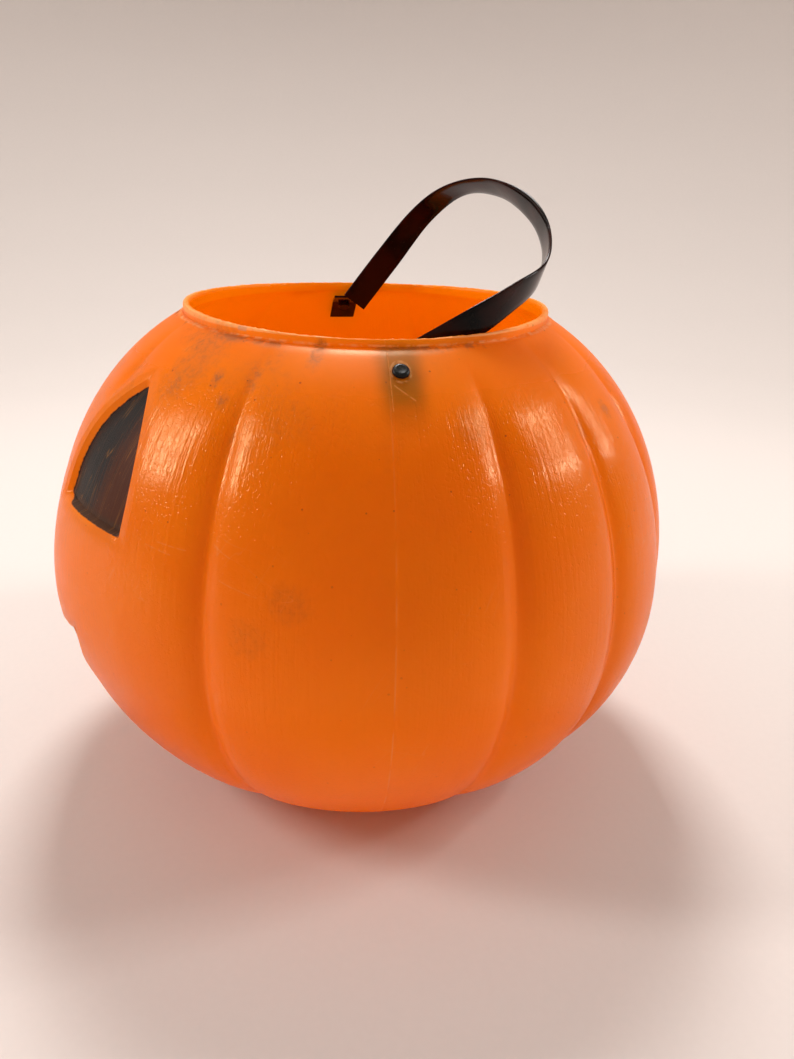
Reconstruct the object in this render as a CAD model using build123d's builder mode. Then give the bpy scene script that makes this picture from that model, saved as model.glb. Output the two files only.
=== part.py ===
import math
import os

from build123d import *

# Pail body: a squat lobed pumpkin, moulded as one thin shell
body_radius = 115.0  # widest radius, on the crest of the lobes
belly_height = 83.0  # height of the widest section
rim_height = 176.0
base_radius = 59.5  # edge of the flat that the pail stands on
shoulder_share = 0.76  # power of the shoulder's curve: 1 is an ellipse, less is fuller
wall = 2.0
body_steps = 6  # sections from the belly to the base, and as many to the neck

# Short upright collar around the mouth
collar_radius = 65.2
collar_height = 3.0
neck_step = 0.8  # the shoulder stands this much proud of the collar

# Grooves between the lobes, in degrees about the upright axis, front at -90
groove_depth = 3.0
front_grooves = 4
front_spread = 120.0
back_grooves = 7
back_spread = 140.0
groove_fade_angle = 24.0  # turn of the profile below the neck where grooves run out
base_groove_share = 0.4  # of the groove's depth, left at the base
brow_fade = 12.0  # the grooves over the eyes run out this far below the brow

# Shallow dish pushed up under the base
dish_radius = 44.0
dish_rise = 2.5

# Face, sunk into the front of the shell
face_depth = 4.0  # nose and mouth
face_corner = 1.2
eye_depth = 2.6
eye_gap = 63.5  # between the two inner corners
eye_sill = 116.0
eye_width = 42.0
eye_height = 43.0
eye_apex_share = 0.28  # of the width, in from the inner corner
eye_outer_bow_shares = (0.825, 0.5)  # middle of the bowed outer edge, of width and height
eye_inner_bow_shares = (0.005, 0.5)  # and of the inner edge
nose_sill = 84.0
nose_width = 22.0
nose_height = 19.0
mouth_width = 107.0
mouth_corner_height = 75.0
mouth_corner_drop = 5.0
mouth_corner_slant = 1.5
mouth_top = 64.0  # upper lip at the middle
mouth_bottom = 38.5  # lower lip at the middle
tooth_width = 12.0
tooth_length = 8.5
tooth_place = 19.0  # upper teeth, off the middle
cheek_swell = 2.0  # the front stands this much proud on both sides of the nose
cheek_height = 86.0
cheek_reach = 34.0  # up and down from there

# Handle strap and its two riveted ends
strap_width = 10.4
strap_thickness = 0.9
strap_reach = 70.0  # farthest point of the loop from the pivot line
strap_gap = 0.35
pivot_radius = 61.0
pivot_drop = 6.5  # pivot line below the rim
pivot_turn = 3.0  # rivet line off the mould's parting plane, in degrees
strap_flap = 3.0  # loop runs this far past the pivot line
tab_tail = 11.0  # end of the strap below its rivet
tab_bend_rise = 3.6  # bend above the rivet, along the wall
tab_bend_radius = 4.0
tab_stand_off = 1.1  # flat strap clear of the rounded wall

# Places along the loop, from the far pivot to the near one: shares across the
# pivots and of the reach, then lean from upright and roll about the strap
strap_across_shares = (-1.0, -0.90, -0.84, -0.60, -0.29, 0.07, 0.37, 0.62, 0.82, 0.93, 1.0)
strap_reach_shares = (0.0, 0.32, 0.645, 0.85, 0.97, 1.0, 0.945, 0.81, 0.60, 0.33, 0.0)
strap_leans = (46.0, 44.0, 40.5, 41.5, 47.0, 54.5, 61.5, 67.5, 68.5, 73.0, 77.0)
strap_rolls = (0.0, 2.0, 23.0, 30.0, 9.0, -17.0, -33.0, -41.0, -27.0, -7.0, 0.0)

# Rivets through the shell and the ends of the strap
rivet_drop = 8.5  # rivet below the rim, on the outside
rivet_radius = 1.6
rivet_clearance = 0.05
rivet_head_radius = 2.65
rivet_head_height = 1.2
rivet_head_round = 0.8
rivet_clinch_radius = 2.4
rivet_clinch_height = 0.8

overrun = 5.0  # cuts run this far past what they cut

neck_height = rim_height - collar_height
neck_radius = collar_radius + neck_step
neck_swell = (neck_radius / body_radius) ** (2 / shoulder_share)
upper_reach = (neck_height - belly_height) / math.sqrt(1 - neck_swell)
lower_reach = belly_height / math.sqrt(1 - (base_radius / body_radius) ** 2)
brow_height = eye_sill + eye_height
pivot_height = rim_height - pivot_drop
rivet_height = rim_height - rivet_drop

front_step = front_spread / (front_grooves - 1)
back_step = back_spread / (back_grooves - 1)
groove_angles = [-90 - front_spread / 2 + i * front_step for i in range(front_grooves)]
groove_angles += [90 - back_spread / 2 + i * back_step for i in range(back_grooves)]


def around(radius, degrees):
    angle = math.radians(degrees)
    return (radius * math.cos(angle), radius * math.sin(angle))


# One level of the body: lobes as arcs that meet in the grooves, but in cheeks below the eyes
def lobed_section(height, radius, groove):
    over_eyes = min(1.0, max(0.0, (height - brow_height + brow_fade) / brow_fade))
    cheek = cheek_swell * max(0.0, 1 - ((height - cheek_height) / cheek_reach) ** 2)
    depths = [groove] * len(groove_angles)
    depths[1 : front_grooves - 1] = [groove * over_eyes - cheek] * (front_grooves - 2)
    with BuildSketch(Plane.XY.offset(height)) as section:
        with BuildLine():
            for i, start in enumerate(groove_angles):
                after = (i + 1) % len(groove_angles)
                end = groove_angles[after] if after else groove_angles[0] + 360
                crest = around(radius, (start + end) / 2)
                ThreePointArc(around(radius - depths[i], start), crest, around(radius - depths[after], end))
        make_face()
    return section.sketch


# The body drawn in by an inset: a half ellipse from the base to the belly, a fuller one to the neck
def lobed_body(inset):
    top = neck_height - inset / 2
    up_angle = math.degrees(math.asin((top - belly_height) / (upper_reach - inset)))
    down_angle = math.degrees(math.asin((belly_height - inset) / (lower_reach - inset)))
    with BuildPart() as body:
        for i in range(-body_steps, body_steps + 1):
            angle = (up_angle if i > 0 else down_angle) * i / body_steps
            reach, power = (upper_reach, shoulder_share) if i > 0 else (lower_reach, 1)
            fade = min(1.0, (up_angle - angle) / groove_fade_angle)
            if i < 0:
                fade = 1 - (1 - base_groove_share) * (i / body_steps) ** 2
            height = belly_height + (reach - inset) * math.sin(math.radians(angle))
            radius = (body_radius - inset) * math.cos(math.radians(angle)) ** power
            add(lobed_section(height, radius, groove_depth * fade))
        loft()
    return body.part


# Face outlines, seen from the front
face_front = Plane.XZ.offset(body_radius + overrun)

with BuildSketch(face_front) as eyes:
    eye_inner = eye_gap / 2
    with BuildLine():
        eye_apex = (eye_inner + eye_width * eye_apex_share, brow_height)
        outer_corner = (eye_inner + eye_width, eye_sill)
        inner_corner = (eye_inner, eye_sill)
        outer_bow, inner_bow = (
            (eye_inner + eye_width * across, eye_sill + eye_height * up)
            for across, up in (eye_outer_bow_shares, eye_inner_bow_shares)
        )
        ThreePointArc(eye_apex, outer_bow, outer_corner)
        Line(outer_corner, inner_corner)
        ThreePointArc(inner_corner, inner_bow, eye_apex)
    make_face()
    fillet(eyes.vertices(), face_corner)
    mirror(about=Plane.YZ)

with BuildSketch(face_front) as nose:
    with BuildLine():
        Polyline(
            (-nose_width / 2, nose_sill),
            (nose_width / 2, nose_sill),
            (0, nose_sill + nose_height),
            close=True,
        )
    make_face()
    fillet(nose.vertices(), face_corner)

with BuildSketch(face_front) as mouth:
    half = mouth_width / 2
    low_half = half - mouth_corner_slant
    low_corner = mouth_corner_height - mouth_corner_drop
    with BuildLine():
        ThreePointArc((-half, mouth_corner_height), (0, mouth_top), (half, mouth_corner_height))
        Line((half, mouth_corner_height), (low_half, low_corner))
        ThreePointArc((low_half, low_corner), (0, mouth_bottom), (-low_half, low_corner))
        Line((-low_half, low_corner), (-half, mouth_corner_height))
    make_face()
    with Locations((-tooth_place, mouth_top), (tooth_place, mouth_top)):
        Rectangle(tooth_width, 2 * tooth_length, mode=Mode.SUBTRACT)
    with Locations((0, mouth_bottom)):
        Rectangle(tooth_width, 2 * tooth_length, mode=Mode.SUBTRACT)
    fillet(mouth.vertices(), face_corner)


# A sunken feature: outlines grown by a margin, run into the body as far as a depth
def face_pocket(outlines, margin, depth):
    with BuildPart() as pocket:
        with BuildSketch(face_front):
            for outline in outlines:
                add(outline.sketch)
            if margin:
                offset(amount=margin)
        extrude(amount=-body_radius)
        add(lobed_body(depth), mode=Mode.SUBTRACT)
    return pocket.part


outer_body = lobed_body(0)
inner_body = lobed_body(wall)

sunken = (((eyes,), eye_depth), ((nose, mouth), face_depth))
face_pockets = [face_pocket(outlines, 0, depth) for outlines, depth in sunken]
face_backs = [face_pocket(outlines, wall, depth + wall) for outlines, depth in sunken]


# Cap of a sphere that the base is pushed up by
def base_dish(radius, height, rise):
    with BuildPart() as dish:
        with BuildSketch(Plane.XZ):
            with BuildLine():
                across = (radius**2 + rise**2) / (2 * rise)
                RadiusArc((radius, height), (0, height + rise), -across)
                Polyline((0, height + rise), (0, height), (radius, height))
            make_face()
        revolve(axis=Axis.Z)
    return dish.part


# What the pail holds: the inside of the lobes, up through the mouth
with BuildPart() as hollow:
    add(inner_body)
    for back in face_backs:
        add(back, mode=Mode.SUBTRACT)
    add(base_dish(dish_radius + wall, wall, dish_rise), mode=Mode.SUBTRACT)
    with BuildSketch(Plane.XY.offset(neck_height - wall)):
        Circle(collar_radius - wall)
    extrude(amount=collar_height + wall + overrun)


# Where a rivet stands on one surface of the shell, looking straight out of it
def rivet_seat(surface, turn):
    share = (rivet_height - belly_height) / upper_reach
    radius = body_radius * (1 - share**2) ** (shoulder_share / 2)
    tilt = math.atan2(share / upper_reach, (1 - share**2) / (shoulder_share * radius))
    out = Vector(math.cos(math.radians(turn)), math.sin(math.radians(turn)), 0)
    normal = out * math.cos(tilt) + Vector(0, 0, math.sin(tilt))
    place = out * radius + Vector(0, 0, rivet_height)
    hits = surface.find_intersection_points(Axis(place, normal))
    seat = min((hit[0] for hit in hits), key=lambda point: (point - place).length)
    return Plane(origin=seat, x_dir=out.cross(Vector(0, 0, 1)), z_dir=normal)


sides = {"near": pivot_turn, "far": pivot_turn + 180}
outer_seats = {side: rivet_seat(outer_body, turn) for side, turn in sides.items()}
inner_seats = {side: rivet_seat(inner_body, turn) for side, turn in sides.items()}

with BuildPart() as pail_shell:
    add(outer_body)
    with BuildSketch(Plane.XY.offset(neck_height - wall / 2)):
        Circle(collar_radius)
    extrude(amount=collar_height + wall / 2)
    for pocket in face_pockets:
        add(pocket, mode=Mode.SUBTRACT)
    add(hollow.part, mode=Mode.SUBTRACT)
    add(base_dish(dish_radius, 0, dish_rise), mode=Mode.SUBTRACT)
    for seat in outer_seats.values():
        with BuildSketch(seat.offset(overrun)):
            Circle(rivet_radius + rivet_clearance)
        extrude(amount=-wall - 2 * overrun, mode=Mode.SUBTRACT)
pail_shell.part.label = "pail_shell"


# End of the strap: flat on the wall under its rivet, then bent in to the pivot line
def strap_end(side):
    seat = inner_seats[side]
    out = Vector(math.cos(math.radians(sides[side])), math.sin(math.radians(sides[side])), 0)
    upright = Plane(origin=(0, 0, 0), x_dir=out, z_dir=out.cross(Vector(0, 0, 1)))
    middle = seat.offset(-tab_stand_off - strap_thickness / 2)
    rise = seat.z_dir.cross(seat.x_dir)
    if rise.Z < 0:
        rise = -rise
    low = upright.to_local_coords(middle.origin - rise * tab_tail)
    bend = upright.to_local_coords(middle.origin + rise * tab_bend_rise)
    inner_end = Vector(pivot_radius + strap_thickness / 2 + strap_gap, pivot_height)
    with BuildPart() as end:
        with BuildSketch(upright):
            with BuildLine() as run:
                FilletPolyline((low.X, low.Y), (bend.X, bend.Y), inner_end, radius=tab_bend_radius)
            trace(run.line, strap_thickness)
        extrude(amount=strap_width / 2, both=True)
        with BuildSketch(middle.offset(overrun)):
            Circle(rivet_radius + rivet_clearance)
        extrude(amount=-2 * overrun, mode=Mode.SUBTRACT)
    return end


# Rivet: rounded head outside, shank through shell and strap, clinched inside
def rivet(side):
    outside = outer_seats[side].offset(rivet_clearance)
    inside = inner_seats[side].offset(-tab_stand_off - strap_thickness - rivet_clearance)
    shank = (outside.origin - inside.origin).length
    with BuildPart() as pin:
        with BuildSketch(outside):
            Circle(rivet_head_radius)
        extrude(amount=rivet_head_height)
        crown = pin.edges().sort_by(Axis(outside.origin, outside.z_dir))[-1]
        fillet(crown, rivet_head_round)
        with BuildSketch(inside):
            Circle(rivet_radius)
        extrude(amount=shank)
        with BuildSketch(inside):
            Circle(rivet_clinch_radius)
        extrude(amount=-rivet_clinch_height)
    return pin


near_strap_end = strap_end("near")
near_strap_end.part.label = "strap_end_near"

far_strap_end = strap_end("far")
far_strap_end.part.label = "strap_end_far"

near_rivet = rivet("near")
near_rivet.part.label = "rivet_near"

far_rivet = rivet("far")
far_rivet.part.label = "rivet_far"

# Loop of the strap: a thin band carried along its places, leaning and rolling
pivot_axis = Vector(math.cos(math.radians(pivot_turn)), math.sin(math.radians(pivot_turn)), 0)
backward = Vector(0, 0, 1).cross(pivot_axis)


def leaning(lean):
    return backward * math.sin(math.radians(lean)) + Vector(0, 0, math.cos(math.radians(lean)))


strap_places = []
for across, reach, lean in zip(strap_across_shares, strap_reach_shares, strap_leans):
    place = pivot_axis * (pivot_radius * across) + leaning(lean) * (strap_reach * reach)
    strap_places.append(place + Vector(0, 0, pivot_height))
strap_places[0] -= leaning(strap_leans[0]) * strap_flap
strap_places[-1] -= leaning(strap_leans[-1]) * strap_flap

with BuildPart() as handle_strap:
    last = len(strap_places) - 1
    for i, place in enumerate(strap_places):
        along = strap_places[min(i + 1, last)] - strap_places[max(i - 1, 0)]
        if i == 0:
            along = leaning(strap_leans[0])
        if i == last:
            along = -leaning(strap_leans[-1])
        swing = leaning(strap_leans[i]).cross(pivot_axis).rotate(Axis((0, 0, 0), along), strap_rolls[i])
        with BuildSketch(Plane(origin=place, x_dir=swing, z_dir=along)):
            Rectangle(strap_width, strap_thickness)
    loft()
handle_strap.part.label = "handle_strap"

os.makedirs("parts", exist_ok=True)
export_step(pail_shell.part, "parts/pail_shell.step")
export_step(near_strap_end.part, "parts/strap_end_near.step")
export_step(far_strap_end.part, "parts/strap_end_far.step")
export_step(near_rivet.part, "parts/rivet_near.step")
export_step(far_rivet.part, "parts/rivet_far.step")
export_step(handle_strap.part, "parts/handle_strap.step")
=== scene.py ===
import math
import bpy
import numpy as np
from mathutils import Matrix, Vector


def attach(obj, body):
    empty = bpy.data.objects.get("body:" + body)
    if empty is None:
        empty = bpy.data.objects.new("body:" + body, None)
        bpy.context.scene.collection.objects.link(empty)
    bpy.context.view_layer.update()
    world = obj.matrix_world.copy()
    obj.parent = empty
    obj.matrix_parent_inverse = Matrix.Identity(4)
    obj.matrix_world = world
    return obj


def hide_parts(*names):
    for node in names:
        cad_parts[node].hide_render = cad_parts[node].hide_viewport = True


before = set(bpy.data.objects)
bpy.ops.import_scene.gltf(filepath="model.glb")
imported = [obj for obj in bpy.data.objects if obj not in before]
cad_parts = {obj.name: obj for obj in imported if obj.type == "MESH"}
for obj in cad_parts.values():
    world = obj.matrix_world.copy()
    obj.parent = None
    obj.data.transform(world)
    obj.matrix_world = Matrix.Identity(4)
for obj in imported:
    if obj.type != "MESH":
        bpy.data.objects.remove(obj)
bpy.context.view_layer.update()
mm = 0.001


class Wire:  # one socket of a node tree, used in sums like a number
    def __init__(self, tree, socket=None):
        self.tree = tree
        self.socket = socket

    def plug(self, socket, value):
        if isinstance(value, Wire):
            self.tree.links.new(value.socket, socket)
        else:
            socket.default_value = value

    def node(self, kind, settings=None, inputs=None, out=0):  # any node, settings first
        made = self.tree.nodes.new(kind)
        for name, value in (settings or {}).items():
            setattr(made, name, value)
        for key, value in (inputs or {}).items():
            self.plug(made.inputs[key], value)
        if isinstance(out, tuple):
            return [Wire(self.tree, made.outputs[each]) for each in out]
        return Wire(self.tree, made.outputs[out])

    def math(self, operation, *values):
        return self.node("ShaderNodeMath", {"operation": operation}, dict(enumerate(values)))

    def __add__(self, other):
        return self.math("ADD", self, other)

    def __radd__(self, other):
        return self.math("ADD", other, self)

    def __sub__(self, other):
        return self.math("SUBTRACT", self, other)

    def __rsub__(self, other):
        return self.math("SUBTRACT", other, self)

    def __mul__(self, other):
        return self.math("MULTIPLY", self, other)

    def __rmul__(self, other):
        return self.math("MULTIPLY", other, self)

    def __truediv__(self, other):
        return self.math("DIVIDE", self, other)

    def __pow__(self, other):
        return self.math("POWER", self, other)

    def __neg__(self):
        return self.math("MULTIPLY", self, -1.0)

    def __abs__(self):
        return self.math("ABSOLUTE", self)

    def least(self, other):
        return self.math("MINIMUM", self, other)

    def most(self, other):
        return self.math("MAXIMUM", self, other)

    def above(self, limit):
        return self.math("GREATER_THAN", self, limit)

    def smooth(self, low, high):  # 0 at low, 1 at high, eased
        return self.node("ShaderNodeMapRange", {"interpolation_type": "SMOOTHSTEP"},
                         {0: self, 1: low, 2: high, 3: 0.0, 4: 1.0})

    def mixColour(self, first, second):  # this wire is the share of second
        return self.node("ShaderNodeMix", {"data_type": "RGBA"}, {0: self, 6: first, 7: second}, 2)

    def noise(self, scale, detail=2.0, roughness=0.5):  # this wire is the place
        return self.node("ShaderNodeTexNoise", None,
                         {"Vector": self, "Scale": scale, "Detail": detail, "Roughness": roughness})


def rgb(red, green, blue):
    return (red, green, blue, 1.0)


# Camera, solved on the outline, the rim and the parting line of the photograph
cameraSetup = {
    "reach": 344.6,  # from the pail's axis, level
    "height": 227.28,
    "turn": -4.9,  # degrees about the axis from +X
    "pitch": 22.049,
    "yaw": -2.222,
    "roll": 1.697,
    "focalPixels": 932.07,
    "imageHeight": 1059,
    "sensor": 36.0,
    "clipStart": 10.0,
}


def addCamera(setup):
    pitch, yaw, roll = (math.radians(setup[key]) for key in ("pitch", "yaw", "roll"))
    level = math.cos(pitch)
    forward = Vector((-level * math.cos(yaw), -level * math.sin(yaw), -math.sin(pitch)))
    right = Vector((-math.sin(yaw), math.cos(yaw), 0.0))
    up = right.cross(forward)
    rolledRight = right * math.cos(roll) + up * math.sin(roll)
    rolledUp = up * math.cos(roll) - right * math.sin(roll)
    axes = Matrix((rolledRight, rolledUp, -forward)).transposed().to_4x4()
    place = Matrix.Translation((setup["reach"] * mm, 0.0, setup["height"] * mm))
    data = bpy.data.cameras.new("photoCamera")
    data.lens = setup["focalPixels"] * setup["sensor"] / setup["imageHeight"]
    data.sensor_width = setup["sensor"]
    data.clip_start = setup["clipStart"] * mm
    camera = bpy.data.objects.new("photoCamera", data)
    camera.matrix_world = Matrix.Rotation(math.radians(setup["turn"]), 4, "Z") @ place @ axes
    bpy.context.scene.collection.objects.link(camera)
    bpy.context.scene.camera = camera


addCamera(cameraSetup)
print("camera placed")


def vector(base, x, y, z):
    return base.node("ShaderNodeCombineXYZ", None, {0: x, 1: y, 2: z})


def newTree(name, sizes):  # a geometry tree with a geometry, sizes and a material going in
    tree = bpy.data.node_groups.new(name, "GeometryNodeTree")
    tree.interface.new_socket(name="Geometry", in_out="OUTPUT", socket_type="NodeSocketGeometry")
    tree.interface.new_socket(name="Geometry", in_out="INPUT", socket_type="NodeSocketGeometry")
    for size in sizes:
        tree.interface.new_socket(name=size, in_out="INPUT", socket_type="NodeSocketFloat")
    tree.interface.new_socket(name="Material", in_out="INPUT", socket_type="NodeSocketMaterial")
    entry = tree.nodes.new("NodeGroupInput")
    return tree, {socket.name: Wire(tree, socket) for socket in entry.outputs if socket.name}


def endTree(tree, geometry, material):
    whole = geometry.node("GeometryNodeRealizeInstances", None, {0: geometry})
    dressed = whole.node("GeometryNodeSetMaterial", None, {"Geometry": whole, "Material": material})
    leave = tree.nodes.new("NodeGroupOutput")
    tree.links.new(dressed.socket, leave.inputs[0])


def growMesh(name, mesh, tree, values):  # runs the tree on a base mesh and keeps a plain mesh
    piece = bpy.data.objects.new(name, mesh)
    bpy.context.scene.collection.objects.link(piece)
    modifier = piece.modifiers.new("grow", "NODES")
    modifier.node_group = tree
    for item in tree.interface.items_tree:
        if item.in_out == "INPUT" and item.name in values:
            modifier[item.identifier] = values[item.name]
    graph = bpy.context.evaluated_depsgraph_get()
    grown = bpy.data.meshes.new_from_object(piece.evaluated_get(graph), preserve_all_data_layers=True,
                                            depsgraph=graph)
    piece.modifiers.remove(modifier)
    piece.data = grown
    grown.name = name
    return piece


def shadeSmooth(mesh, angle):
    mesh.polygons.foreach_set("use_smooth", [True] * len(mesh.polygons))
    mesh.set_sharp_from_angle(angle=math.radians(angle))


# Pail shell: sizes in millimetres, angles in degrees with the face at -90
pail = {
    "bodyRadius": 114.75,
    "bellyHeight": 83.0,
    "rimHeight": 176.0,
    "baseRadius": 59.5,
    "shoulderShare": 0.76,  # power of the shoulder's curve: 1 is an ellipse, less is fuller
    "wall": 2.0,
    "collarRadius": 65.2,
    "collarHeight": 3.0,
    "neckStep": 0.8,
    "dishRadius": 44.0,
    "dishRise": 2.5,
    "grooveDepth": 4.0,
    "grooveSoftness": 1.6,  # rounding at the bottom of a groove
    "valleyWidth": 4.25,  # a lobe's edge rolls over into the groove within about this much
    "crownShare": 0.25,  # of the depth, taken by the even crown of the whole lobe
    "grooveFade": 24.0,
    "baseGrooveShare": 0.4,
    "footRings": ((14.0, 0.05), (10.0, 0.3), (5.0, 0.7), (1.6, 1.0)),  # in from the edge, groove share
    "floorRings": ((3.0, 0.8), (8.0, 0.3)),  # the same on the floor inside
    "dishShares": (0.0, 0.2, 0.4, 0.6, 0.75, 0.88, 0.96, 1.0),
    "basinShares": (1.0, 0.85, 0.65, 0.4, 0.2, 0.0),
    "neckRoll": ((0.15, 0.15), (-0.1, 0.4), (0.0, 1.0)),  # out from the collar's line, up from the neck
    "rimRoll": ((0.1, 0.9), (0.0, 0.35), (-0.3, 0.0)),  # and down from the rim
    "mouthRoll": ((0.35, 0.0), (0.0, 0.4), (0.0, 1.4)),  # the same on the inside
    "throatDrop": 0.6,
    "browFade": 12.0,  # the grooves over the eyes run out this far below the brow
    "rivetDrop": 8.5,  # rivets below the rim, on the outside
    "rivetTurn": 3.0,  # and off the parting line
    "frontGrooves": 4,
    "frontSpread": 120.0,
    "backGrooves": 7,
    "backSpread": 140.0,
    "seamHeight": 0.18,  # ridge where the two halves of the mould met
    "seamWidth": 0.55,
    "rimSaddle": 1.0,  # the rim dips at the rivets and rises at front and back
    "saddleReach": (5.0, 1.0),  # below the rim, where the saddle starts and where it is full
    "rimRagged": 0.5,  # trimmed by hand after moulding
    "raggedReach": 1.2,
    "columns": 500,
    "faceCrowd": (1.1, 48.0),  # how much closer the columns stand there, and within how many degrees
    "grooveCrowd": (2.0, 3.0),
    "seamCrowd": (9.0, 0.3),
    "bodyRows": 150,
    "innerRows": 44,
    "sharpAngle": 42,
}
face = {
    "depth": 4.2,  # of nose and mouth
    "eyeDepth": 2.8,
    "wallRun": 1.4,  # how far the sides of a sunken feature lean in
    "lip": 0.7,
    "corner": 1.2,
    "eyeGap": 63.5,
    "eyeSill": 116.0,
    "eyeWidth": 42.0,
    "eyeHeight": 43.0,
    "eyeApexShare": 0.28,
    "eyeOuterBowShares": (0.825, 0.5),
    "eyeInnerBowShares": (0.005, 0.5),
    "noseSill": 84.0,
    "noseWidth": 22.0,
    "noseHeight": 19.0,
    "mouthWidth": 107.0,
    "mouthCornerHeight": 75.0,
    "mouthCornerDrop": 5.0,
    "mouthCornerSlant": 1.5,
    "mouthTop": 64.0,
    "mouthBottom": 38.5,
    "toothWidth": 12.0,
    "toothLength": 8.5,
    "toothPlace": 19.0,
    "cheekSwell": 2.0,  # the front stands this much proud on both sides of the nose
    "cheekHeight": 86.0,
    "cheekReach": 34.0,
    "frontShare": 0.3,  # sunk only where the wall faces the front at least this much
    "uprightShare": 0.05,  # and stands this upright
    "lipReach": 3.0,  # the lip eases in from this far outside
    "eyeMargin": 8.0,  # between the sills of the eyes and what is sunk below them
    "probe": 0.05,  # step that feels the slope of an outline
    "pullReach": 0.75,  # points this near to a lip or a foot are drawn onto it
    "leastSlope": 0.2,
}
neckHeight = pail["rimHeight"] - pail["collarHeight"]
neckRadius = pail["collarRadius"] + pail["neckStep"]
rivetHeight = pail["rimHeight"] - pail["rivetDrop"]
rivetTurn = pail["rivetTurn"]
browHeight = face["eyeSill"] + face["eyeHeight"]
neckSwell = (neckRadius / pail["bodyRadius"]) ** (2 / pail["shoulderShare"])
upperReach = (neckHeight - pail["bellyHeight"]) / math.sqrt(1 - neckSwell)
lowerReach = pail["bellyHeight"] / math.sqrt(1 - (pail["baseRadius"] / pail["bodyRadius"]) ** 2)
frontStep = pail["frontSpread"] / (pail["frontGrooves"] - 1)
backStep = pail["backSpread"] / (pail["backGrooves"] - 1)
grooveAngles = [-90 - pail["frontSpread"] / 2 + i * frontStep for i in range(pail["frontGrooves"])]
grooveAngles += [90 - pail["backSpread"] / 2 + i * backStep for i in range(pail["backGrooves"])]
pointValues = (  # what each point of the shell's grid carries into the tree
    "turn", "rowRadius", "rowHeight", "outShare", "upShare", "grooveShare", "lobe", "lobeWidth", "skin")


def columnAngles():  # closer together at the face, in the grooves and on the seam
    samples = 36000
    fine = np.linspace(-180.0, 180.0, samples, endpoint=False)
    peak, spread = pail["faceCrowd"]
    crowd = 1.0 + peak * np.exp(-((fine + 90) / spread) ** 8)
    places = [(angle, *pail["grooveCrowd"]) for angle in grooveAngles]
    places += [(angle, *pail["seamCrowd"]) for angle in (0, 180)]
    for place, peak, spread in places:
        apart = np.abs((fine - place + 180) % 360 - 180)
        crowd += peak * np.exp(-(apart / spread) ** 2)
    steps = np.cumsum(crowd)
    wanted = (np.arange(pail["columns"]) + 0.5) / pail["columns"] * steps[-1]
    return np.interp(wanted, steps, fine)


def lobePlaces(angles):  # 0 on a crest and 1 in a groove, and half the lobe's width
    edges = np.array(grooveAngles + [grooveAngles[0] + 360])
    turned = (angles - edges[0]) % 360 + edges[0]
    index = np.searchsorted(edges, turned, side="right") - 1
    half = (edges[index + 1] - edges[index]) / 2
    return np.abs(turned - edges[index] - half) / half, np.radians(half) * pail["bodyRadius"]


def bodyRows(inset, count):  # radius, height, outward radius share, outward height share, groove share
    top = neckHeight - inset / 2
    upAngle = math.degrees(math.asin((top - pail["bellyHeight"]) / (upperReach - inset)))
    downAngle = math.degrees(math.asin((pail["bellyHeight"] - inset) / (lowerReach - inset)))
    rows = []
    for angle in np.linspace(-downAngle, upAngle, count):
        reach, power = (upperReach, pail["shoulderShare"]) if angle > 0 else (lowerReach, 1.0)
        cosine, sine = math.cos(math.radians(angle)), math.sin(math.radians(angle))
        radius = (pail["bodyRadius"] - inset) * cosine ** power
        height = pail["bellyHeight"] + (reach - inset) * sine
        out = Vector((cosine ** 2 / (power * radius), sine / (reach - inset))).normalized()
        share = min(1.0, (upAngle - angle) / pail["grooveFade"])
        if angle < 0:
            share = 1 - (1 - pail["baseGrooveShare"]) * (angle / downAngle) ** 2
        rows.append((radius, height, out.x, out.y, share))
    return rows


def shellRows():  # every ring of the shell, from under the base, over the rim, to the inside floor
    wall, rim, low = pail["wall"], pail["rimHeight"], pail["baseGrooveShare"]
    dish = [(pail["dishRadius"] * share, pail["dishRise"] * (1 - share ** 2), 0, -1, 0)
            for share in pail["dishShares"]]
    ring = [(pail["baseRadius"] - gap, 0, 0, -1, low * share) for gap, share in pail["footRings"]]
    outer = bodyRows(0, pail["bodyRows"])
    radius = pail["collarRadius"]
    collar = [(radius + out, neckHeight + up, 1, 0, 0) for out, up in pail["neckRoll"]]
    collar += [(radius + out, rim - down, 1, 0, 0) for out, down in pail["rimRoll"]]
    throat = radius - wall
    mouth = [(throat + out, rim - down, 1, 0, 0) for out, down in pail["mouthRoll"]]
    mouth.append((throat, neckHeight - pail["throatDrop"], 1, 0, 0))
    inner = bodyRows(wall, pail["innerRows"])[::-1]
    floor = [(inner[-1][0] - gap, wall, 0, -1, low * share) for gap, share in pail["floorRings"]]
    basin = [((pail["dishRadius"] + wall) * share, wall + pail["dishRise"] * (1 - share ** 2), 0, -1, 0)
             for share in pail["basinShares"]]
    outside = dish + ring + outer + collar
    inside = mouth + inner + floor + basin
    return outside, inside


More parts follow.
